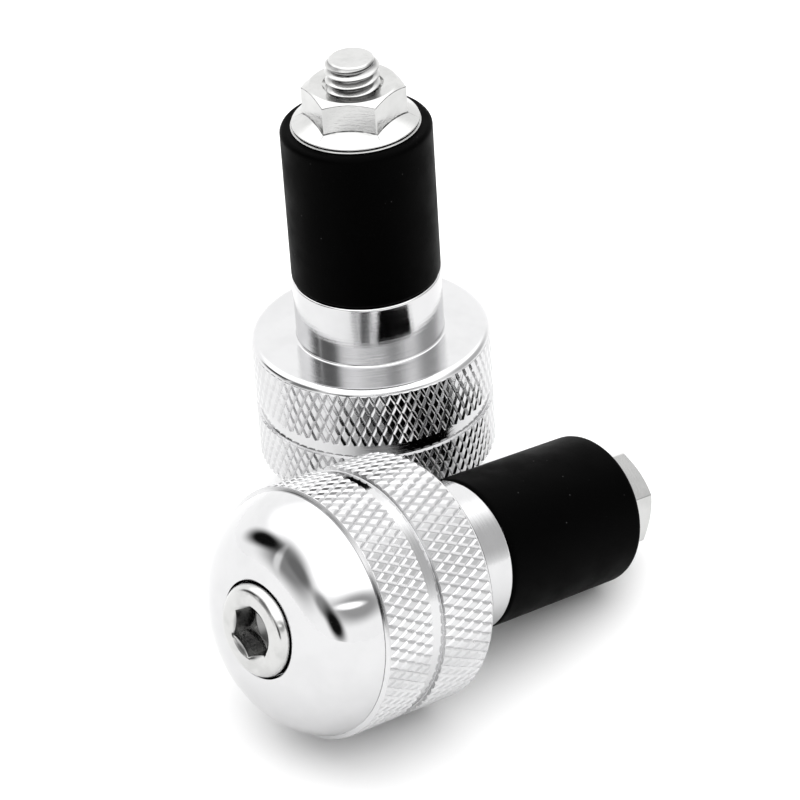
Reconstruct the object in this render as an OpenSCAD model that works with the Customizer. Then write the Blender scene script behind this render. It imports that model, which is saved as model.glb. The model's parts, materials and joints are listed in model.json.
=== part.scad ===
// A pair of handlebar end plugs: one stands on its domed end, the other lies beside it.
// Each plug is a turned weight, a cap screw, a rubber sleeve and a flange nut.
// Turning the screw draws the nut towards the weight and squeezes the sleeve.
// Millimetres. Origin under the middle of the pair, +Z up, the standing plug's axis along +Z.

/* [Weight] */
// Diameter over the knurled bands
head_d = 27; // [26:0.5:30]
// Height of the domed end, from its flat front to the first knurled band
dome_h = 5.65; // [5:0.05:6]
// Radius of the dome's profile
dome_r = 8.2; // [7.8:0.1:8.8]
// Step from the dome's edge up to the knurled bands, in radius
dome_step = 0.45; // [0.3:0.05:0.6]
// Height of each knurled band
knurl_h = 6.25; // [5:0.05:8]
// Width of the smooth groove between the bands
groove_w = 1.75; // [1:0.05:3]
// Depth of the groove
groove_depth = 0.4; // [0.2:0.05:0.6]
// Radius of the rounded rim at the inboard face
rim_r = 0.9; // [0.5:0.1:1.5]
// Length of the spigot that enters the handlebar
spigot_len = 7.4; // [5:0.1:12]
// Chamfer at the spigot's end
spigot_chamfer = 0.3; // [0.1:0.05:0.5]
// Fillet where the spigot meets the inboard face
spigot_fillet = 0.25; // [0.1:0.05:0.5]
// Bore for the screw
bore_d = 6.6; // [6.4:0.1:7]
// Counterbore for the screw's head
counterbore_d = 10.5; // [10.4:0.1:11]

/* [Screw] */
// Thread diameter
thread_d = 6; // [6:6]
// Length under the head
screw_len = 50; // [48:1:55]
// Head diameter
screw_head_d = 10; // [10:10]
// Head height
screw_head_h = 6; // [6:6]
// Rounding of the head's edge
screw_head_edge = 0.55; // [0.3:0.05:0.8]
// How far the head stands out of the counterbore
head_proud = 1.1; // [0.5:0.1:2]
// Hexagon socket, across flats
socket_af = 5; // [5:5]
// Depth of the hexagon socket
socket_depth = 3; // [3:0.1:4]
// Chamfer at the threaded end
tip_chamfer = 0.6; // [0.4:0.1:0.8]

/* [Sleeve] */
// Outside diameter of the sleeve and of the spigot
plug_d = 16.7; // [16:0.1:18]
// Hole through the sleeve
sleeve_bore_d = 6.7; // [6.6:0.1:7.2]
// Rounding of the sleeve's edges
sleeve_edge = 0.6; // [0.3:0.1:1]
// Length of the sleeve on the standing plug
standing_sleeve_len = 18.7; // [17:0.1:20]
// Length of the sleeve on the lying plug, which is squeezed a little less
lying_sleeve_len = 19.5; // [17:0.1:20]

/* [Nut] */
// Width across the nut's flats
nut_af = 10; // [10:10]
// Overall height of the nut
nut_h = 5; // [4.5:0.1:6]
// Diameter of the nut's flange
flange_d = 14.3; // [13.6:0.1:14.4]
// Thickness of the flange at its rim
flange_rim = 0.5; // [0.3:0.1:1]
// Slope of the flange and of the chamfer on the nut's corners, in degrees
nut_slope = 30; // [25:1:35]
// Running clearance between the thread and the nut, in radius
nut_clearance = 0.05; // [0.02:0.01:0.1]

/* [Lying plug] */
// Place of the lying plug's inboard face, from the standing plug's axis
lying_x = 2.4; // [0:0.1:10]
// The same, towards the front
lying_y = -35.6; // [-60:0.1:-35]
// Turn of the lying plug about the vertical, in degrees
lying_turn = 40.1; // [35:0.1:50]
// Turn of the standing plug's nut about its axis, in degrees
standing_nut_turn = -7; // [-30:1:30]
// Turn of the lying plug's nut about its axis, in degrees
lying_nut_turn = 3; // [-30:1:30]

/* [Hidden] */
$fn = 96;

head_r = head_d / 2;
plug_r = plug_d / 2;
thread_r = thread_d / 2;
screw_head_r = screw_head_d / 2;
bore_r = bore_d / 2;
counterbore_r = counterbore_d / 2;
dome_edge_r = head_r - dome_step;

// Heights along a plug's axis, from the top face of the screw's head
front_z = head_proud;
dome_z = front_z + dome_h;
groove_z = dome_z + knurl_h;
band_z = groove_z + groove_w;
rim_z = band_z + knurl_h;
face_z = rim_z + rim_r;
spigot_z = face_z + spigot_len;
tip_z = screw_head_h + screw_len;

// The dome is one arc that starts level with the flat front at dome_flat_r
dome_flat_r = dome_edge_r - sqrt(pow(dome_r, 2) - pow(dome_r - dome_h, 2));
dome_centre_z = front_z + dome_r;

// The lying plug rests on its rounded rim and on the end of its sleeve
rest_a = head_r - rim_r - plug_r + sleeve_edge;
rest_b = spigot_z + lying_sleeve_len - sleeve_edge - rim_z;
lying_tilt = acos((sleeve_edge - rim_r) / norm([rest_a, rest_b])) - atan2(rest_b, rest_a);
lying_rim_h = (head_r - rim_r) * cos(lying_tilt) + rim_r;
lying_axis = [
    cos(lying_tilt) * cos(lying_turn),
    cos(lying_tilt) * sin(lying_turn),
    -sin(lying_tilt)
];
lying_start = [
    lying_x - face_z * lying_axis.x,
    lying_y - face_z * lying_axis.y,
    lying_rim_h - rim_z * lying_axis.z
];

// Middle of the pair, from the reach of the lying dome, the lying screw's end and the standing head
function across(axis_part) = sqrt(1 - pow(axis_part, 2));
low_x = lying_start.x + dome_centre_z * lying_axis.x - dome_flat_r * across(lying_axis.x) - dome_r;
low_y = lying_start.y + dome_centre_z * lying_axis.y - dome_flat_r * across(lying_axis.y) - dome_r;
high_x = lying_start.x + tip_z * lying_axis.x + (thread_r - tip_chamfer) * across(lying_axis.x);
high_y = head_r;
middle = [(low_x + high_x) / 2, (low_y + high_y) / 2, 0];

module stand() {
    translate(-middle) children();
}

module lie() {
    translate(lying_start - middle) rotate([0, 90 + lying_tilt, lying_turn]) children();
}

// A rectangle in a profile, from radius r0 to r1 and from height z0 to z1
module span(r0, r1, z0, z1) {
    translate([r0, z0]) square([r1 - r0, z1 - z0]);
}

module dome_profile() {
    span(0, dome_flat_r, front_z, dome_z);
    intersection() {
        translate([dome_flat_r, dome_centre_z]) circle(dome_r);
        span(dome_flat_r - 0.01, head_r, front_z, dome_z);
    }
}

module head_profile() {
    dome_profile();
    polygon([
        [0, dome_z], [dome_edge_r, dome_z], [head_r, dome_z + dome_step], [head_r, groove_z],
        [head_r - groove_depth, groove_z], [head_r - groove_depth, band_z], [head_r, band_z],
        [head_r, rim_z], [head_r - rim_r, rim_z], [head_r - rim_r, face_z], [0, face_z]
    ]);
    translate([head_r - rim_r, rim_z]) circle(rim_r);
}

module spigot_profile() {
    span(0, plug_r - spigot_chamfer, face_z - 1, spigot_z);
    polygon([
        [0, face_z - 1], [plug_r, face_z - 1], [plug_r, spigot_z - spigot_chamfer],
        [plug_r - spigot_chamfer, spigot_z], [0, spigot_z]
    ]);
    difference() {
        span(plug_r - 0.01, plug_r + spigot_fillet, face_z - 0.01, face_z + spigot_fillet);
        translate([plug_r + spigot_fillet, face_z + spigot_fillet]) circle(spigot_fillet);
    }
}

// Turned weight: dome, knurled bands, groove, rim, shoulder and spigot in one piece
module weight() {
    color("silver") rotate_extrude() difference() {
        union() {
            head_profile();
            spigot_profile();
        }
        span(-1, bore_r, 0, spigot_z + 1);
        span(-1, counterbore_r, 0, screw_head_h);
    }
}

module screw_profile() {
    span(0, screw_head_r - screw_head_edge, 0, screw_head_h);
    span(0, screw_head_r, screw_head_edge, screw_head_h);
    translate([screw_head_r - screw_head_edge, screw_head_edge]) circle(screw_head_edge);
    polygon([
        [0, 0], [thread_r, 0], [thread_r, tip_z - tip_chamfer], [thread_r - tip_chamfer, tip_z], [0, tip_z]
    ]);
}

// Socket head cap screw, its thread drawn at its outside diameter
module screw() {
    color("lightgray") difference() {
        rotate_extrude() intersection() {
            screw_profile();
            span(0, head_r, 0, tip_z);
        }
        translate([0, 0, -1]) cylinder(h = socket_depth + 1, d = socket_af / cos(30), $fn = 6);
    }
}

// Rubber tube between the spigot and the nut
module sleeve(length) {
    inset = sleeve_edge;
    color("#161616") translate([0, 0, spigot_z]) rotate_extrude() {
        difference() {
            union() {
                span(0, plug_r - inset, 0, length);
                span(0, plug_r, inset, length - inset);
                for (z = [inset, length - inset]) translate([plug_r - inset, z]) circle(inset);
            }
            span(-1, sleeve_bore_d / 2, -1, length + 1);
        }
    }
}

// Flange nut: a hexagon with chamfered corners on a conical flange
module nut(length, turn) {
    flange_r = flange_d / 2;
    flat_r = nut_af / 2;
    corner_r = flat_r / cos(30);
    crown_r = 0.95 * flat_r;
    rise = tan(nut_slope);
    color("gainsboro") translate([0, 0, spigot_z + length]) difference() {
        union() {
            cylinder(h = flange_rim, r = flange_r);
            translate([0, 0, flange_rim])
                cylinder(h = (flange_r - flat_r + 0.1) * rise, r1 = flange_r, r2 = flat_r - 0.1);
            intersection() {
                rotate(turn) cylinder(h = nut_h, r = corner_r, $fn = 6);
                rotate_extrude() polygon([
                    [0, 0], [corner_r + 1, 0], [corner_r + 1, nut_h - (corner_r + 1 - crown_r) * rise],
                    [crown_r, nut_h], [0, nut_h]
                ]);
            }
        }
        translate([0, 0, -1]) cylinder(h = nut_h + 2, r = thread_r + nut_clearance);
    }
}

module standing_weight() { stand() weight(); }
module standing_screw() { stand() screw(); }
module standing_sleeve() { stand() sleeve(standing_sleeve_len); }
module standing_nut() { stand() nut(standing_sleeve_len, standing_nut_turn); }
module lying_weight() { lie() weight(); }
module lying_screw() { lie() screw(); }
module lying_sleeve() { lie() sleeve(lying_sleeve_len); }
module lying_nut() { lie() nut(lying_sleeve_len, lying_nut_turn); }

standing_weight();
standing_screw();
standing_sleeve();
standing_nut();
lying_weight();
lying_screw();
lying_sleeve();
lying_nut();
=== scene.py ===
"""A pair of handlebar end plugs, one standing on its dome and one lying in front of it.

Each plug is a knurled, turned weight, a socket head cap screw, a rubber sleeve and a flange nut.
Each piece is built in its plug's own axes: millimetres, +Z from the dome to the nut, zero at the
top face of the screw's head. It is then placed by the matrix of the plug it belongs to.
"""

import json
import math

import bpy
import numpy as np
from mathutils import Matrix, Vector


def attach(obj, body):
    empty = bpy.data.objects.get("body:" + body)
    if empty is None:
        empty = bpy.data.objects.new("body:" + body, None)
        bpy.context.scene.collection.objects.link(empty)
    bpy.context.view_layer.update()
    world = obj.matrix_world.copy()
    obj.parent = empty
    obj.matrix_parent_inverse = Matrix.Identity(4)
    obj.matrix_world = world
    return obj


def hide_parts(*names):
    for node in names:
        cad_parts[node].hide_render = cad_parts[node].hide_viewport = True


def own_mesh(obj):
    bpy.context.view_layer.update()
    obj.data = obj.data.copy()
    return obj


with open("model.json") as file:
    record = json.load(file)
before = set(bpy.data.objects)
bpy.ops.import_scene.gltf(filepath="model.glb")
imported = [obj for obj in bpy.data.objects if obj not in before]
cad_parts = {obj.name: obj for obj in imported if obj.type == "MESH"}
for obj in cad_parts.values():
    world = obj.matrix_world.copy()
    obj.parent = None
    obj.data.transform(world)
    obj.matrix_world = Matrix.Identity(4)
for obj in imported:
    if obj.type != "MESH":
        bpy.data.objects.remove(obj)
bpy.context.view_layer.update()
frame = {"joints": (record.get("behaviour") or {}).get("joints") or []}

MM = 0.001
OWN_AXES = "own_axes"
# Point attribute that marks where the nut's painted shade lies
PAINTED_EDGE_SHADE = "painted_edge_shade"

# Weight, radii and heights in millimetres
HEAD_R = 13.5
FRONT_Z = 1.1
DOME_H = 5.65
DOME_R = 8.2
DOME_STEP = 0.45
KNURL_H = 6.25
GROOVE_W = 1.75
GROOVE_DEPTH = 0.4
RIM_R = 0.9
SPIGOT_LEN = 7.4
SPIGOT_CHAMFER = 0.3
SPIGOT_FILLET = 0.25
BORE_R = 3.3
COUNTERBORE_R = 5.25
DOME_STEPS = 40
# Small rounding of a turned edge
EDGE_ROUND = 0.1
# How far a support point stands from a rounding
SUPPORT = 0.05
# The counterbore's mouth: how far its rounding cuts into the dome, and the depth where it is straight
MOUTH_ROUND = 0.14
MOUTH_DEPTH = 0.45
# Fine edges, each point as radius and height from the corner that it softens: the counterbore's
# mouth, the seam at the dome's edge, and the end of the step up to the knurl
MOUTH_EDGE = ((0.0, MOUTH_DEPTH), (0.0, 0.17), (0.0, 0.12), (0.04, 0.04))
SEAM_EDGE = ((-0.06, 0.03), (-0.06, 0.1), (0.02, 0.12), (0.06, 0.15))
STEP_EDGE = ((-0.08, -0.08), (-0.03, -0.04))
# The groove's edges: depth of its lip under the knurl's valleys, where its walls start and end,
# and the rounding of its corners
GROOVE_LIP = 0.01
GROOVE_TOP = 0.02
GROOVE_WALL = 0.06
GROOVE_ROUND = 0.04

# Diamond knurl. The second band runs a little way up into the rounded rim
DIAMONDS_AROUND = 72
DIAMONDS_HIGH = 2.5
KNURL_DEPTH = 0.2
KNURL_BEVEL = 0.02
# Places of a diamond's valley, wall, bevel and top, as shares of its width
KNURL_LINES = (0.0, 0.19, 0.24, 0.5)
KNURL_OVER_RIM = 0.22
RIM_START = math.radians(17)

# Screw and nut
THREAD_R = 3.0
THREAD_ROOT_R = 2.43
PITCH = 1.0
# Half a turn of the rolled thread: phase, and share of the way from the crest to the root
THREAD_HALF = ((0.02, 0.0), (0.06, 0.06), (0.1, 0.16), (0.4, 0.96), (0.44, 1.0))
# Heights nearer than this count as one
TOUCH = 1e-6
SCREW_LEN = 50.0
SCREW_HEAD_R = 5.0
SCREW_HEAD_H = 6.0
SCREW_HEAD_EDGE = 1.15
SOCKET_AF = 5.0
SOCKET_DEPTH = 3.0
SOCKET_MOUTH_R = 3.05
SOCKET_MOUTH_SLOPE = math.radians(32)
SOCKET_MOUTH_LIP = (0.02, 0.01)
SOCKET_LEDGE = 0.1
SOCKET_FOOT = 0.05
DRILL_SLOPE = math.radians(31)
UNDER_HEAD_EDGE = 0.15
UNDER_HEAD_FILLET = 0.2
SHANK_R = THREAD_R - 0.02
THREADED_LEN = 16.0
TIP_CHAMFER = 0.6
TIP_EDGE = 0.04
# The slightly hollow end of the screw: insets of its flat, then the radius and depths of its dish
TIP_FLAT = (0.06, 0.4)
TIP_DISH_R = 1.4
TIP_DISH = (0.06, 0.09)
# Width of the fine facets that soften the socket's edges
FINE = 0.03
NUT_AF = 10.0
NUT_H = 5.0
FLANGE_R = 7.15
FLANGE_RIM = 0.5
FLANGE_LEDGE = 0.14
FLANGE_LEDGE_Z = 0.22
NUT_SLOPE = math.radians(30)
NUT_CROWN_R = 0.95 * NUT_AF / 2
NUT_CORNER = 0.14
COUNTERSINK_R = 3.37
# Roundings of the nut, from its seat up to its top
SEAT_EDGE = 0.06
LEDGE_EDGE = 0.03
FLANGE_EDGE = 0.1
FLANGE_FILLET = 0.22
CHAMFER_EDGE = 0.1
CROWN_EDGE = 0.15
# Angles on a sixth of the nut: close together over its corner, further apart over its flat
CORNER_ANGLES = np.linspace(-0.03, 0.03, 7)
FLAT_ANGLES = np.linspace(0.05, math.pi / 3 - 0.05, 13)
# Gaps between the nut's thread and the screw's, at the crests and at the valleys
THREAD_GAP = 0.03
THREAD_ROOT_GAP = 0.1
# How near the nut's edges the painted shade lies, across its flats and along its axis
CHAMFER_SHADE_BAND = (0.03, 0.05)
FLANGE_SHADE_BAND = (0.1, 0.1)

# Sleeve
PLUG_R = 8.35
SLEEVE_BORE_R = 3.35
SLEEVE_EDGE = 0.6

# Heights along a plug's axis
DOME_Z = FRONT_Z + DOME_H
KNURL_Z = DOME_Z + DOME_STEP
GROOVE_Z = DOME_Z + KNURL_H
BAND_Z = GROOVE_Z + GROOVE_W
RIM_Z = BAND_Z + KNURL_H
FACE_Z = RIM_Z + RIM_R
SPIGOT_Z = FACE_Z + SPIGOT_LEN
TIP_Z = SCREW_HEAD_H + SCREW_LEN

# Points round the screw and round the sleeve
SCREW_POINTS = 96
SLEEVE_POINTS = 192
# Edges that turn by more than these stay sharp: on the weight and the sleeve, and on screw and nut
SHARP = math.radians(14)
SHARP_STEEL = math.radians(24)

# The two plugs: length of the sleeve, turn of the nut's hexagon and dullness of the knurl
PLUGS = {"standing": (18.7, math.radians(-7), 0.02), "lying": (19.5, math.radians(3), 0.2)}


# ---------------------------------------------------------------- geometry


def arc(centre, radius, start, end, steps):
    """Points of an arc in an outline, from one angle to another, in radians."""
    return [
        (centre[0] + radius * math.cos(a), centre[1] + radius * math.sin(a))
        for a in np.linspace(start, end, steps + 1)
    ]


def beside(corner, steps):
    """Points at small steps in radius and height from a corner."""
    return [(corner[0] + out, corner[1] + up) for out, up in steps]


def rounded(corners, steps, support=SUPPORT):
    """An open outline through (r, z, rounding) corners, each rounding an arc.

    A support point stands a little before and after each arc, so that the flat faces beside it
    keep their own normals.
    """
    points = [corners[0][:2]]
    for before, corner, after in zip(corners, corners[1:], corners[2:]):
        here = np.array(corner[:2], float)
        size = corner[2]
        if size == 0:
            points.append(tuple(here))
            continue
        back = np.array(before[:2], float) - here
        ahead = np.array(after[:2], float) - here
        room = min(np.linalg.norm(back), np.linalg.norm(ahead))
        back /= np.linalg.norm(back)
        ahead /= np.linalg.norm(ahead)
        half = math.acos(np.clip(back @ ahead, -1, 1)) / 2
        reach = size / math.tan(half)
        middle = here + (back + ahead) / np.linalg.norm(back + ahead) * size / math.sin(half)
        first = here + back * reach - middle
        last = here + ahead * reach - middle
        sweep = math.pi - 2 * half
        if room > reach + 2 * support:
            points.append(tuple(here + back * (reach + support)))
        for k in range(steps + 1):
            t = k / steps
            swing = math.sin((1 - t) * sweep) * first + math.sin(t * sweep) * last
            points.append(tuple(middle + swing / math.sin(sweep)))
        if room > reach + 2 * support:
            points.append(tuple(here + ahead * (reach + support)))
    points.append(corners[-1][:2])
    return points


def hexagon_radius(angle, across_flats, corner=0.0):
    """Distance from the middle of a hexagon to its outline, with a corner at angle 0."""
    flat = across_flats / 2
    off = abs(angle % (math.pi / 3) - math.pi / 6)
    straight = flat / math.cos(off)
    if corner == 0:
        return straight
    middle = (flat - corner) / math.cos(math.pi / 6)
    away = math.pi / 6 - off
    if off < math.atan(math.tan(math.pi / 6) * (flat - corner) / flat):
        return straight
    return middle * math.cos(away) + math.sqrt(corner**2 - (middle * math.sin(away)) ** 2)


class Shell:
    """The vertices and faces of one piece. A ring is a list of vertex numbers round the axis."""

    def __init__(self):
        self.points = []
        self.faces = []
        # Where a piece has painted shade: 1 at those points, 0 elsewhere
        self.painted_shade = None

    def ring(self, radii, heights, angles):
        start = len(self.points)
        radii = np.broadcast_to(radii, angles.shape)
        heights = np.broadcast_to(heights, angles.shape)
        self.points += list(zip(radii * np.cos(angles), radii * np.sin(angles), heights))
        return list(range(start, start + len(angles)))

    def bridge(self, low, high):
        count = len(low)
        for j in range(count):
            k = (j + 1) % count
            self.add(low[j], low[k], high[k], high[j])

    def add(self, *corners):
        """A face, without the corners that fall on each other."""
        kept = [c for i, c in enumerate(corners) if c != corners[i - 1]]
        if len(set(kept)) == len(kept) and len(kept) > 2:
            self.faces.append(kept)

    def lathe(self, outline, angles, below=None):
        """Rings through an outline, the first one joined to the ring below it."""
        for radius, height in outline:
            above = self.ring(radius, height, angles)
            if below:
                self.bridge(below, above)
            below = above
        return below

    def cap(self, ring, height, up):
        """Closes a ring with a fan to a point on the axis."""
        middle = len(self.points)
        self.points.append((0.0, 0.0, height))
        for j in range(len(ring)):
            k = (j + 1) % len(ring)
            edge = (ring[j], ring[k]) if up else (ring[k], ring[j])
            self.add(*edge, middle)

    def knurl(self, low_z, high_z):
        """A band of diamonds between two crossing families of V grooves. Returns its end rings."""
        per_diamond = 2 * (len(KNURL_LINES) - 1)
        place = list(KNURL_LINES) + [1 - x for x in KNURL_LINES[-2:0:-1]]
        drop = [KNURL_DEPTH, KNURL_BEVEL, 0.0, 0.0, 0.0, KNURL_BEVEL]
        columns = per_diamond * DIAMONDS_AROUND
        rows = round(per_diamond * DIAMONDS_HIGH)
        tall = (high_z - low_z) / DIAMONDS_HIGH

        def vertex(u, v):
            """The point where groove line u of one family meets line v of the other."""
            along_u = u // per_diamond + place[u % per_diamond]
            along_v = v // per_diamond + place[v % per_diamond]
            radius = HEAD_R - max(drop[u % per_diamond], drop[v % per_diamond])
            angle = math.pi * (along_u + along_v) / DIAMONDS_AROUND
            height = low_z + tall * (along_u - along_v) / 2
            self.points.append((radius * math.cos(angle), radius * math.sin(angle), height))
            return len(self.points) - 1

        lines = [[vertex(i + j, i - j) for i in range(columns)] for j in range(rows + 1)]
        middles = [[vertex(i + j + 1, i - j) for i in range(columns)] for j in range(rows)]
        for j in range(rows):
            for i in range(columns):
                k = (i + 1) % columns
                around = (lines[j][i], lines[j][k], lines[j + 1][k], lines[j + 1][i])
                for a, b in zip(around, around[1:] + around[:1]):
                    self.add(a, b, middles[j][i])
        return lines[0], lines[-1]

    def thread(self, angles, low, high, outline, limit, below, above):
        """A right-hand thread between two heights, its rows running along the helix.

        outline is (phase, radius) over one turn. limit takes a radius and a height, and gives the
        radius that the thread has there. The rings below and above close it off.
        """
        count = len(angles)
        turns = range(math.floor(low / PITCH) - 1, math.ceil(high / PITCH) + 1)
        rows = []
        for turn in turns:
            for phase, radius in outline:
                row = []
                for j, angle in enumerate(angles):
                    height = PITCH * (turn + phase + angle / math.tau)
                    if height <= low + TOUCH:
                        row.append(below[j])
                    elif height >= high - TOUCH:
                        row.append(above[j])
                    else:
                        r = limit(radius, height)
                        self.points.append((r * math.cos(angle), r * math.sin(angle), height))
                        row.append(len(self.points) - 1)
                rows.append(row)
        per_turn = len(outline)
        for i in range(len(rows) - 1):
            for j in range(count - 1):
                self.add(rows[i][j], rows[i][j + 1], rows[i + 1][j + 1], rows[i + 1][j])
            if i + per_turn + 1 < len(rows):
                over = rows[i + per_turn]
                over_next = rows[i + per_turn + 1]
                self.add(rows[i][-1], over[0], over_next[0], rows[i + 1][-1])

    def build(self, name, place, material, sharp=SHARP):
        """The piece as a Blender object, put where its plug's matrix says.

        The mesh keeps its points in the plug's own axes as an attribute, for the materials.
        """
        mesh = bpy.data.meshes.new(name)
        mesh.from_pydata([tuple(c * MM for c in p) for p in self.points], [], self.faces)
        own = mesh.attributes.new(OWN_AXES, "FLOAT_VECTOR", "POINT")
        own.data.foreach_set("vector", np.array(self.points, np.float32).ravel() * MM)
        # The painted shade's marks go in as an attribute too
        if self.painted_shade is not None:
            painted_shade = mesh.attributes.new(PAINTED_EDGE_SHADE, "FLOAT", "POINT")
            painted_shade.data.foreach_set("value", self.painted_shade)
        mesh.transform(place)
        mesh.shade_smooth()
        mesh.set_sharp_from_angle(angle=sharp)
        mesh.materials.append(material)
        piece = bpy.data.objects.new(name, mesh)
        bpy.context.scene.collection.objects.link(piece)
        return piece


def even(count):
    """Angles evenly spaced round the axis."""
    return np.arange(count) * math.tau / count


# ---------------------------------------------------------------- pieces


def weight_shell():
    """The turned weight, as one closed surface: dome, knurl, groove, knurl, shoulder, spigot."""
    shell = Shell()
    angles = even(2 * (len(KNURL_LINES) - 1) * DIAMONDS_AROUND)
    dome_edge_r = HEAD_R - DOME_STEP
    flat_r = dome_edge_r - math.sqrt(DOME_R**2 - (DOME_R - DOME_H) ** 2)
    centre = (flat_r, FRONT_Z + DOME_R)
    start = math.asin((COUNTERBORE_R + MOUTH_ROUND - flat_r) / DOME_R) - math.pi / 2
    end = math.atan2(DOME_Z - centre[1], dome_edge_r - flat_r)
    mouth = beside((COUNTERBORE_R, FRONT_Z), MOUTH_EDGE)
    dome = arc(centre, DOME_R, start, end, DOME_STEPS)
    seam = beside((dome_edge_r, DOME_Z), SEAM_EDGE)
    step = beside((HEAD_R, KNURL_Z), STEP_EDGE)
    below = shell.lathe(mouth + dome + seam + step, angles)
    low, high = shell.knurl(KNURL_Z, GROOVE_Z)
    shell.bridge(below, low)
    lip_r = HEAD_R - KNURL_DEPTH - GROOVE_LIP
    floor_r = HEAD_R - GROOVE_DEPTH
    groove = rounded(
        [
            (lip_r, GROOVE_Z + GROOVE_TOP, 0),
            (floor_r, GROOVE_Z + GROOVE_WALL, GROOVE_ROUND),
            (floor_r, BAND_Z - GROOVE_WALL, GROOVE_ROUND),
            (lip_r, BAND_Z - GROOVE_TOP, 0),
        ],
        steps=3,
    )
    below = shell.lathe(groove, angles, high)
    low, high = shell.knurl(BAND_Z, RIM_Z + KNURL_OVER_RIM)
    shell.bridge(below, low)
    rim = arc((HEAD_R - RIM_R, RIM_Z), RIM_R, RIM_START, math.pi / 2, 8)
    shoulder = rounded(
        [
            (HEAD_R - RIM_R - SUPPORT, FACE_Z, 0),
            (PLUG_R, FACE_Z, SPIGOT_FILLET),
            (PLUG_R, SPIGOT_Z, SPIGOT_CHAMFER),
            (BORE_R, SPIGOT_Z, EDGE_ROUND),
            (BORE_R, SCREW_HEAD_H, EDGE_ROUND),
            (COUNTERBORE_R, SCREW_HEAD_H, EDGE_ROUND),
            (COUNTERBORE_R, FRONT_Z + MOUTH_DEPTH, 0),
        ],
        steps=8,
    )
    last = shell.lathe(rim + shoulder[:-1], angles, high)
    shell.bridge(last, list(range(len(angles))))
    return shell


def thread_outline(crest_r, root_r):
    """One turn of a rolled thread's outline, its crest at phase 0, as (phase, radius)."""
    half = [(phase, crest_r + (root_r - crest_r) * share) for phase, share in THREAD_HALF]
    return half + [(1 - phase, radius) for phase, radius in reversed(half)]


def screw_shell():
    """The cap screw: hexagon socket, head, shank and a real thread at its end."""
    shell = Shell()
    angles = even(SCREW_POINTS)
    hexagon = np.array([hexagon_radius(a, SOCKET_AF) for a in angles])
    floor_r = SOCKET_AF / 2 - SOCKET_LEDGE
    floor = shell.ring(floor_r, SOCKET_DEPTH, angles)
    shell.cap(floor, SOCKET_DEPTH + floor_r * math.tan(DRILL_SLOPE), up=False)
    ledge = shell.ring(hexagon - FINE, SOCKET_DEPTH, angles)
    shell.bridge(floor, ledge)
    wall = shell.ring(hexagon, SOCKET_DEPTH - SOCKET_FOOT, angles)
    shell.bridge(ledge, wall)
    mouth_z = (SOCKET_MOUTH_R - hexagon) * math.tan(SOCKET_MOUTH_SLOPE)
    mouth = shell.ring(hexagon, mouth_z + FINE, angles)
    shell.bridge(wall, mouth)
    lip = shell.ring(hexagon + FINE, mouth_z, angles)
    shell.bridge(mouth, lip)
    head = rounded(
        [
            (SOCKET_MOUTH_R - SOCKET_MOUTH_LIP[0], SOCKET_MOUTH_LIP[1], 0),
            (SOCKET_MOUTH_R + FINE, 0, 0),
            (SCREW_HEAD_R, 0, SCREW_HEAD_EDGE),
            (SCREW_HEAD_R, SCREW_HEAD_H, UNDER_HEAD_EDGE),
            (SHANK_R, SCREW_HEAD_H, UNDER_HEAD_FILLET),
            (SHANK_R, TIP_Z - THREADED_LEN, 0),
        ],
        steps=8,
    )
    shank = shell.lathe(head, angles, lip)
    tip_r = THREAD_R - TIP_CHAMFER
    thread_end = TIP_Z - TIP_EDGE
    tip = shell.ring(tip_r, thread_end, angles)
    shell.thread(
        angles,
        TIP_Z - THREADED_LEN,
        thread_end,
        thread_outline(THREAD_R, THREAD_ROOT_R),
        lambda radius, height: min(radius, tip_r + (thread_end - height)),
        shank,
        tip,
    )
    end = [(tip_r - inset, TIP_Z) for inset in TIP_FLAT]
    dish = shell.lathe(end + [(TIP_DISH_R, TIP_Z - TIP_DISH[0])], angles, tip)
    shell.cap(dish, TIP_Z - TIP_DISH[1], up=True)
    return shell


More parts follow.
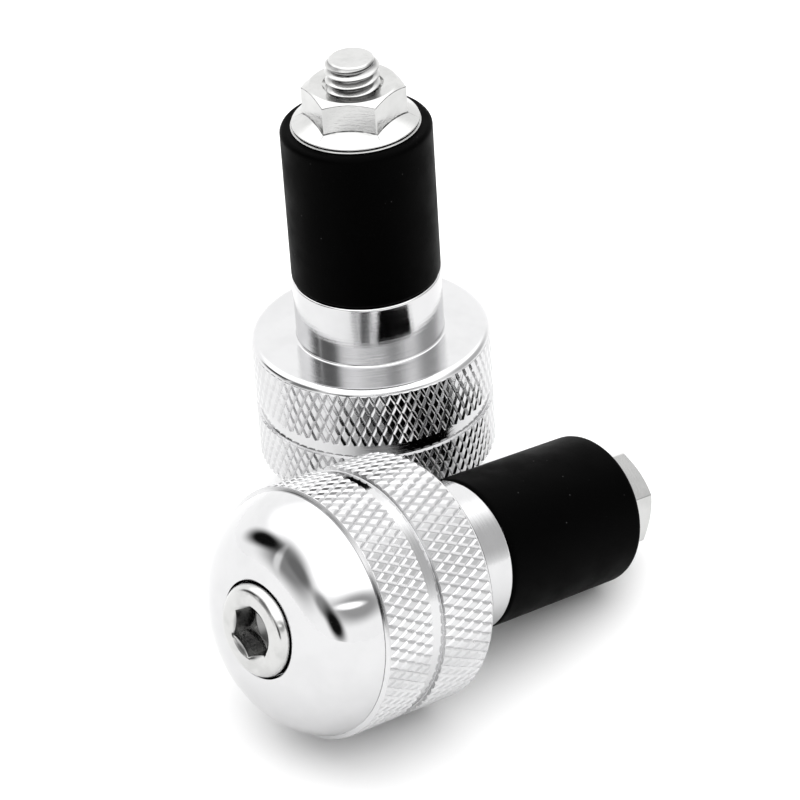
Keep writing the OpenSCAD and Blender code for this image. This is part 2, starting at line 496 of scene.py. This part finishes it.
def nut_shell(base_z, turn):
    """The flange nut: hexagon with chamfered corners, conical flange, real internal thread."""
    shell = Shell()
    sixth = np.concatenate([CORNER_ANGLES, FLAT_ANGLES])
    angles = np.concatenate([sixth + k * math.pi / 3 for k in range(6)])
    angles = np.sort((angles + turn) % math.tau)
    rise = math.tan(NUT_SLOPE)
    sink = COUNTERSINK_R - THREAD_R
    wall_r = FLANGE_R - FLANGE_LEDGE
    outlines = []
    for angle in angles:
        hexagon = hexagon_radius(angle - turn, NUT_AF, NUT_CORNER)
        outlines.append(
            rounded(
                [
                    (COUNTERSINK_R, 0, 0),
                    (FLANGE_R, 0, SEAT_EDGE),
                    (FLANGE_R, FLANGE_LEDGE_Z, SEAT_EDGE),
                    (wall_r, FLANGE_LEDGE_Z, LEDGE_EDGE),
                    (wall_r, FLANGE_RIM + (FLANGE_R - wall_r) * rise, FLANGE_EDGE),
                    (hexagon, FLANGE_RIM + (FLANGE_R - hexagon) * rise, FLANGE_FILLET),
                    (hexagon, NUT_H - (hexagon - NUT_CROWN_R) * rise, CHAMFER_EDGE),
                    (NUT_CROWN_R, NUT_H, CROWN_EDGE),
                    (COUNTERSINK_R, NUT_H, SEAT_EDGE),
                    (THREAD_R, NUT_H - sink, 0),
                ],
                steps=5,
                support=0.03,
            )
        )
    outlines = np.array(outlines)
    below = None
    rings = []
    for row in range(outlines.shape[1]):
        ring = shell.ring(outlines[:, row, 0], base_z + outlines[:, row, 1], angles)
        if below:
            shell.bridge(below, ring)
        below = ring
        rings.append(ring)
    valley_r = THREAD_R + THREAD_GAP
    crest_r = THREAD_ROOT_R + THREAD_ROOT_GAP
    low = shell.ring(valley_r, base_z + sink, angles)
    shell.bridge(low, rings[0])
    start = len(shell.faces)
    shell.thread(
        angles,
        base_z + sink,
        base_z + NUT_H - sink,
        thread_outline(valley_r, crest_r),
        lambda radius, height: radius,
        low,
        rings[-1],
    )
    shell.faces[start:] = [face[::-1] for face in shell.faces[start:]]
    # Lines of painted shade along the nut's edges
    shell.painted_shade = painted_edge_shade(np.array(shell.points), base_z, turn)
    return shell


def painted_edge_shade(points, base_z, turn):
    """Painted shade: 1 where the nut's flats meet its chamfer and its flange, and 0 elsewhere."""
    radius = np.hypot(points[:, 0], points[:, 1])
    angle = np.arctan2(points[:, 1], points[:, 0]) - turn
    off = np.abs(angle % (math.pi / 3) - math.pi / 6)
    near_flat = np.abs(radius * np.cos(off) - NUT_AF / 2)
    height = points[:, 2] - base_z
    rise = math.tan(NUT_SLOPE)
    chamfer = np.abs(height - NUT_H + (radius - NUT_CROWN_R) * rise)
    flange = np.abs(height - FLANGE_RIM - (FLANGE_R - radius) * rise)
    on_chamfer = (near_flat < CHAMFER_SHADE_BAND[0]) & (chamfer < CHAMFER_SHADE_BAND[1])
    on_flange = (near_flat < FLANGE_SHADE_BAND[0]) & (flange < FLANGE_SHADE_BAND[1])
    return (on_chamfer | on_flange).astype(np.float32)


def sleeve_shell(length):
    """The rubber tube, with its outer edges rounded."""
    shell = Shell()
    angles = even(SLEEVE_POINTS)
    outline = rounded(
        [
            (SLEEVE_BORE_R, SPIGOT_Z, 0),
            (PLUG_R, SPIGOT_Z, SLEEVE_EDGE),
            (PLUG_R, SPIGOT_Z + length, SLEEVE_EDGE),
            (SLEEVE_BORE_R, SPIGOT_Z + length, 0),
        ],
        steps=8,
        support=0.3,
    )
    last = shell.lathe(outline, angles)
    shell.bridge(last, list(range(len(angles))))
    return shell


# ---------------------------------------------------------------- materials

# Colours. A metal has two, the darker one for its faint stains
ALUMINIUM = ((0.585, 0.585, 0.59), (0.555, 0.555, 0.56))
CAP_STEEL = ((0.53, 0.53, 0.525), (0.46, 0.46, 0.455))
NUT_STEEL = ((0.52, 0.52, 0.515), (0.45, 0.45, 0.445))
# Painted shade for the screw's thread valleys and its socket
STEEL_PAINTED_SHADE = (0.1, 0.1, 0.1)
# Painted shade and painted dark reflection lines along the nut's edges
NUT_PAINTED_SHADE = (0.04, 0.04, 0.04)
RUBBER = (0.0004, 0.0004, 0.0004)
RUBBER_DUST = (0.045, 0.045, 0.045)

# Patterns of noise, each as scale, detail and roughness
WEIGHT_RINGS = (4600, 3, 0.75)
WEIGHT_SMUDGE = (220, 3, 0.6)
SCREW_STAIN = (420, 4, 0.6)
SCREW_GRAIN = (6000, 2, 0.6)
NUT_RINGS = (4200, 3, 0.7)
NUT_GRAIN = (5000, 2, 0.6)
NUT_STAIN = (260, 3, 0.6)
# Breaks up the nut's lines of painted shade
SHADE_GAPS = (1500, 2, 0.6)
RUBBER_GRAIN = (5200, 3, 0.65)
RUBBER_WEAR = (260, 3, 0.6)
DUST_PLACES = (700, 1, 0.5)
# Scale of the cells that hold one speck of dust each
DUST_CELLS = 1100

# Depths of the patterns that show as relief, in metres
WEIGHT_RING_DEPTH = 11e-6
SCREW_GRAIN_DEPTH = 4e-6
NUT_RING_DEPTH = 6e-6
NUT_GRAIN_DEPTH = 3e-6
RUBBER_GRAIN_DEPTH = 10e-6

# Least and most roughness of each material, and what turning adds to the aluminium's
ALUMINIUM_ROUGH = (0.04, 0.08)
TURNED_ROUGH = 0.03
SCREW_ROUGH = (0.12, 0.2)
NUT_ROUGH = (0.09, 0.15)
RUBBER_ROUGH = (0.38, 0.55)
RUBBER_SPECULAR = 0.012


class Nodes:
    """A few short ways to add shader nodes to one tree."""

    def __init__(self, tree):
        self.tree = tree

    def add(self, kind, **settings):
        node = self.tree.nodes.new(kind)
        for name, value in settings.items():
            setattr(node, name, value)
        return node

    def link(self, source, target):
        self.tree.links.new(source, target)

    def math(self, operation, first, second=None):
        node = self.add("ShaderNodeMath", operation=operation)
        for socket, value in zip(node.inputs, (first, second)):
            if value is None:
                continue
            if isinstance(value, (int, float)):
                socket.default_value = value
            else:
                self.link(value, socket)
        return node.outputs[0]

    def ramp(self, value, low, high, out_low, out_high):
        """A smooth step of value from low to high."""
        node = self.add("ShaderNodeMapRange", interpolation_type="SMOOTHSTEP")
        self.link(value, node.inputs["Value"])
        node.inputs["From Min"].default_value = low
        node.inputs["From Max"].default_value = high
        node.inputs["To Min"].default_value = out_low
        node.inputs["To Max"].default_value = out_high
        return node.outputs["Result"]

    def noise(self, vector, scale, detail, roughness):
        node = self.add("ShaderNodeTexNoise")
        self.link(vector, node.inputs["Vector"])
        node.inputs["Scale"].default_value = scale
        node.inputs["Detail"].default_value = detail
        node.inputs["Roughness"].default_value = roughness
        return node.outputs["Fac"]

    def bump(self, height, distance, normal=None):
        """A bump by a distance in metres, over another bump's normal where there is one."""
        node = self.add("ShaderNodeBump")
        node.inputs["Distance"].default_value = distance
        self.link(height, node.inputs["Height"])
        if normal:
            self.link(normal, node.inputs["Normal"])
        return node.outputs["Normal"]


def new_material(name, metallic, specular=0.5):
    """A material with one Principled shader, its nodes and the points in the plug's own axes."""
    material = bpy.data.materials.new(name)
    material.use_nodes = True
    nodes = Nodes(material.node_tree)
    shader = material.node_tree.nodes["Principled BSDF"]
    shader.inputs["Metallic"].default_value = metallic
    shader.inputs["Specular IOR Level"].default_value = specular
    place = nodes.add("ShaderNodeAttribute", attribute_name=OWN_AXES).outputs["Vector"]
    return material, nodes, shader, place


def mix_colour(nodes, share, first, second):
    """A blend of two colours, each of them a triple or another node's output."""
    node = nodes.add("ShaderNodeMix", data_type="RGBA")
    nodes.link(share, node.inputs["Factor"])
    for name, colour in (("A", first), ("B", second)):
        if isinstance(colour, tuple):
            node.inputs[name].default_value = (*colour, 1)
        else:
            nodes.link(colour, node.inputs[name])
    return node.outputs["Result"]


def round_axis(nodes, place):
    """Radius and height of the shaded point in its plug's own axes."""
    parts = nodes.add("ShaderNodeSeparateXYZ")
    nodes.link(place, parts.inputs[0])
    flat = nodes.add("ShaderNodeCombineXYZ")
    nodes.link(parts.outputs["X"], flat.inputs["X"])
    nodes.link(parts.outputs["Y"], flat.inputs["Y"])
    radius = nodes.add("ShaderNodeVectorMath", operation="LENGTH")
    nodes.link(flat.outputs[0], radius.inputs[0])
    return radius.outputs["Value"], parts.outputs["Z"]


def lathe_marks(nodes, radius, height, pattern):
    """Fine rings round the axis, as noise over radius and height."""
    rings = nodes.add("ShaderNodeCombineXYZ")
    nodes.link(radius, rings.inputs["X"])
    nodes.link(height, rings.inputs["Y"])
    return nodes.noise(rings.outputs[0], *pattern)


def polished_aluminium(name, knurl_dull):
    """Turned aluminium, bright on the dome, with fine lathe rings on the rest and a duller knurl."""
    material, nodes, shader, place = new_material(name, 1.0)
    radius, height = round_axis(nodes, place)
    marks = lathe_marks(nodes, radius, height, WEIGHT_RINGS)
    smudge = nodes.noise(place, *WEIGHT_SMUDGE)
    turned = nodes.ramp(height, (DOME_Z + 0.1) * MM, KNURL_Z * MM, 0.03, 1.0)
    tint = nodes.ramp(smudge, 0.35, 0.7, 0.0, 1.0)
    nodes.link(mix_colour(nodes, tint, *ALUMINIUM), shader.inputs["Base Color"])
    gloss = nodes.ramp(smudge, 0.3, 0.75, *ALUMINIUM_ROUGH)
    outer = nodes.ramp(radius, (HEAD_R - 0.35) * MM, (HEAD_R - 0.25) * MM, 0.0, knurl_dull)
    below_rim = nodes.ramp(height, (RIM_Z + 0.2) * MM, (RIM_Z + 0.3) * MM, 1.0, 0.0)
    duller = nodes.math("MULTIPLY", nodes.math("MULTIPLY", outer, below_rim), turned)
    rough = nodes.math("ADD", gloss, nodes.math("MULTIPLY", turned, TURNED_ROUGH))
    nodes.link(nodes.math("ADD", rough, duller), shader.inputs["Roughness"])
    amount = nodes.math("MULTIPLY", marks, turned)
    nodes.link(nodes.bump(amount, WEIGHT_RING_DEPTH), shader.inputs["Normal"])
    return material


def plated_steel():
    """Bright plated steel of the cap screw, with painted shade in the thread's valleys and in the
    socket.
    """
    material, nodes, shader, place = new_material("plated_steel", 1.0)
    radius, height = round_axis(nodes, place)
    stain = nodes.noise(place, *SCREW_STAIN)
    grain = nodes.noise(place, *SCREW_GRAIN)
    tint = nodes.ramp(stain, 0.4, 0.7, 0.0, 1.0)
    steel = mix_colour(nodes, tint, *CAP_STEEL)
    # Painted shade: a darker colour in the thread's valleys and in the socket, none on the head's
    # face or at the tip
    crest = nodes.ramp(radius, (THREAD_ROOT_R + 0.05) * MM, (THREAD_R - 0.12) * MM, 0.3, 1.0)
    bare = nodes.ramp(height, 0.1 * MM, 0.4 * MM, 1.0, 0.0)
    tip = nodes.ramp(height, (TIP_Z - 0.2) * MM, (TIP_Z - 0.1) * MM, 0.0, 1.0)
    shade = nodes.math("MAXIMUM", crest, nodes.math("MAXIMUM", bare, tip))
    nodes.link(mix_colour(nodes, shade, STEEL_PAINTED_SHADE, steel), shader.inputs["Base Color"])
    nodes.link(nodes.ramp(stain, 0.3, 0.8, *SCREW_ROUGH), shader.inputs["Roughness"])
    nodes.link(nodes.bump(grain, SCREW_GRAIN_DEPTH), shader.inputs["Normal"])
    return material


def satin_steel():
    """Satin plated steel of the flange nut, with faint rings and thin lines of painted shade along
    its edges.
    """
    material, nodes, shader, place = new_material("satin_steel", 1.0)
    radius, height = round_axis(nodes, place)
    marks = lathe_marks(nodes, radius, height, NUT_RINGS)
    grain = nodes.noise(place, *NUT_GRAIN)
    stain = nodes.noise(place, *NUT_STAIN)
    tint = nodes.ramp(stain, 0.35, 0.7, 0.0, 1.0)
    steel = mix_colour(nodes, tint, *NUT_STEEL)
    # Painted shade and dark reflection lines where the nut's flats meet its chamfer and flange,
    # broken up by noise
    edges = nodes.add("ShaderNodeAttribute", attribute_name=PAINTED_EDGE_SHADE).outputs["Fac"]
    uneven = nodes.ramp(nodes.noise(place, *SHADE_GAPS), 0.3, 0.6, 0.35, 0.95)
    painted_shade = nodes.math("MULTIPLY", edges, uneven)
    nodes.link(mix_colour(nodes, painted_shade, steel, NUT_PAINTED_SHADE), shader.inputs["Base Color"])
    nodes.link(nodes.ramp(stain, 0.3, 0.75, *NUT_ROUGH), shader.inputs["Roughness"])
    ringed = nodes.bump(marks, NUT_RING_DEPTH)
    nodes.link(nodes.bump(grain, NUT_GRAIN_DEPTH, normal=ringed), shader.inputs["Normal"])
    return material


def black_rubber():
    """Matt black rubber with a fine grain and a few pale specks of dust."""
    material, nodes, shader, place = new_material("black_rubber", 0.0, RUBBER_SPECULAR)
    grain = nodes.noise(place, *RUBBER_GRAIN)
    wear = nodes.noise(place, *RUBBER_WEAR)
    cells = nodes.add("ShaderNodeTexVoronoi", feature="F1")
    nodes.link(place, cells.inputs["Vector"])
    cells.inputs["Scale"].default_value = DUST_CELLS
    near = nodes.ramp(cells.outputs["Distance"], 0.05, 0.1, 1.0, 0.0)
    rare = nodes.ramp(nodes.noise(place, *DUST_PLACES), 0.6, 0.66, 0.0, 0.8)
    dust = nodes.math("MULTIPLY", near, rare)
    nodes.link(mix_colour(nodes, dust, RUBBER, RUBBER_DUST), shader.inputs["Base Color"])
    nodes.link(nodes.ramp(wear, 0.3, 0.75, *RUBBER_ROUGH), shader.inputs["Roughness"])
    nodes.link(nodes.bump(grain, RUBBER_GRAIN_DEPTH), shader.inputs["Normal"])
    return material


# ---------------------------------------------------------------- the two plugs


def plug_place(plug):
    """The matrix of a plug's own axes, from its screw's hinge."""
    hinge = next(j for j in frame["joints"] if j["name"] == plug + "_screw_turn")
    along = Vector(hinge["axis"]).normalized()
    start = Vector(hinge["pos_m"]) - along * SCREW_HEAD_H * MM
    level = Vector((0, 0, 1)).cross(along)
    side = level.normalized() if level.length > 0.01 else Vector((0, 1, 0))
    across = side.cross(along)
    turned = Matrix((across, side, along)).transposed().to_4x4()
    return Matrix.Translation(start) @ turned


def finish_piece(piece, body, node):
    """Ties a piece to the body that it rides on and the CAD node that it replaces."""
    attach(piece, body)
    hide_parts(node)


screw_steel = plated_steel()
nut_steel = satin_steel()
rubber = black_rubber()

for plug, (sleeve_len, nut_turn, knurl_dull) in PLUGS.items():
    place = plug_place(plug)
    body = plug + "_weight"
    aluminium = polished_aluminium(plug + "_polished_aluminium", knurl_dull)
    weight = weight_shell().build(plug + "_knurled_weight", place, aluminium)
    finish_piece(weight, body, plug + "_weight")
    screw = screw_shell().build(plug + "_cap_screw", place, screw_steel, SHARP_STEEL)
    finish_piece(screw, plug + "_screw", plug + "_screw")
    nut = nut_shell(SPIGOT_Z + sleeve_len, nut_turn)
    nut = nut.build(plug + "_flange_nut", place, nut_steel, SHARP_STEEL)
    finish_piece(nut, plug + "_nut", plug + "_nut")
    sleeve = sleeve_shell(sleeve_len).build(plug + "_rubber_sleeve", place, rubber)
    finish_piece(sleeve, body, plug + "_sleeve")
    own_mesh(sleeve)


# ---------------------------------------------------------------- studio

FLOOR_SIZE = 6.0
FLOOR_WHITE = 0.86


def studio_floor():
    """A plain pale floor under both plugs."""
    half = FLOOR_SIZE / 2
    corners = [(-half, -half, 0), (half, -half, 0), (half, half, 0), (-half, half, 0)]
    mesh = bpy.data.meshes.new("studio_floor")
    mesh.from_pydata(corners, [], [(0, 1, 2, 3)])
    material = bpy.data.materials.new("pale_floor")
    material.use_nodes = True
    shader = material.node_tree.nodes["Principled BSDF"]
    shader.inputs["Base Color"].default_value = (FLOOR_WHITE, FLOOR_WHITE, FLOOR_WHITE, 1)
    shader.inputs["Roughness"].default_value = 1.0
    shader.inputs["Specular IOR Level"].default_value = 0.0
    mesh.materials.append(material)
    floor = bpy.data.objects.new("studio_floor", mesh)
    bpy.context.scene.collection.objects.link(floor)


# The light tent: brightness of its walls and roof, and the heights between which the roof begins
WALL_LIGHT = 1.5
ROOF_LIGHT = 2.3
ROOF_LOW = math.sin(math.radians(24))
ROOF_HIGH = math.sin(math.radians(41))
# Soft oval patches on the tent: azimuth and elevation of the middle, tilt of the long way, half
# length and half width (all in degrees), and brightness. Azimuth 0 is +X and 90 is +Y. A patch
# fades out from its core to its edge, and a steep slope keeps it off the far side of the tent.
PATCH_CORE = 0.35
FAR_SIDE = -100
PATCHES = [
    (90, 30, 0, 60, 26, 1.5),
    (12, 20, 0, 48, 36, 0.72),
    (194, 26, 90, 31, 36, 0.36),
    (185, 20, 97, 26, 4, 1.1),
    (166, 22, 38, 27, 12, 0.006),
    (203, 29, -15, 20, 10, 0.22),
    (286, 28, 4, 66, 17, 0.5),
    (273, 29, 8, 30, 3.5, 2.4),
    (234, 20, -15, 18, 11, 0.4),
    (248, 11, -38, 21, 12, 0.008),
]


def studio_light():
    """Soft light from all round, as in a light tent, with a bright roof."""
    world = bpy.data.worlds.new("light_tent")
    bpy.context.scene.world = world
    world.use_nodes = True
    nodes = Nodes(world.node_tree)
    direction = nodes.add("ShaderNodeTexCoord").outputs["Generated"]

    def dot(towards):
        product = nodes.add("ShaderNodeVectorMath", operation="DOT_PRODUCT")
        nodes.link(direction, product.inputs[0])
        product.inputs[1].default_value = towards
        return product.outputs["Value"]

    light = nodes.ramp(dot((0, 0, 1)), ROOF_LOW, ROOF_HIGH, WALL_LIGHT, ROOF_LIGHT)
    for azimuth, elevation, tilt, length, width, bright in PATCHES:
        middle = Vector((1, 0, 0))
        middle.rotate(Matrix.Rotation(math.radians(-elevation), 3, "Y"))
        middle.rotate(Matrix.Rotation(math.radians(azimuth), 3, "Z"))
        level = Vector((0, 0, 1)).cross(middle).normalized()
        long_way = Matrix.Rotation(math.radians(tilt), 3, middle) @ level
        wide_way = middle.cross(long_way)
        far_long = nodes.math("POWER", dot(long_way / math.sin(math.radians(length))), 2.0)
        far_wide = nodes.math("POWER", dot(wide_way / math.sin(math.radians(width))), 2.0)
        far = nodes.math("MAXIMUM", nodes.math("ADD", far_long, far_wide), dot(middle * FAR_SIDE))
        share = nodes.ramp(nodes.math("SQRT", far), PATCH_CORE, 1.0, 1.0, 0.0)
        blend = nodes.add("ShaderNodeMix", data_type="FLOAT")
        nodes.link(share, blend.inputs["Factor"])
        nodes.link(light, blend.inputs["A"])
        blend.inputs["B"].default_value = bright
        light = blend.outputs["Result"]
    nodes.link(light, world.node_tree.nodes["Background"].inputs["Color"])


CAMERA_AT = (-0.002654, -0.313238, 0.229974)
CAMERA_PITCH = 33.116
CAMERA_ROLL = -3.841
CAMERA_LENS = 157.5


def studio_camera():
    """A long lens looking down at the pair, turned a little about its own axis."""
    data = bpy.data.cameras.new("camera")
    data.lens = CAMERA_LENS
    data.sensor_width = 36
    data.clip_start = 0.01
    data.clip_end = 20
    camera = bpy.data.objects.new("camera", data)
    pitch = Matrix.Rotation(math.radians(90 - CAMERA_PITCH), 4, "X")
    roll = Matrix.Rotation(math.radians(CAMERA_ROLL), 4, "Z")
    camera.matrix_world = Matrix.Translation(CAMERA_AT) @ pitch @ roll
    bpy.context.scene.collection.objects.link(camera)
    bpy.context.scene.camera = camera


studio_floor()
studio_light()
studio_camera()
bpy.context.scene.view_settings.view_transform = "Standard"
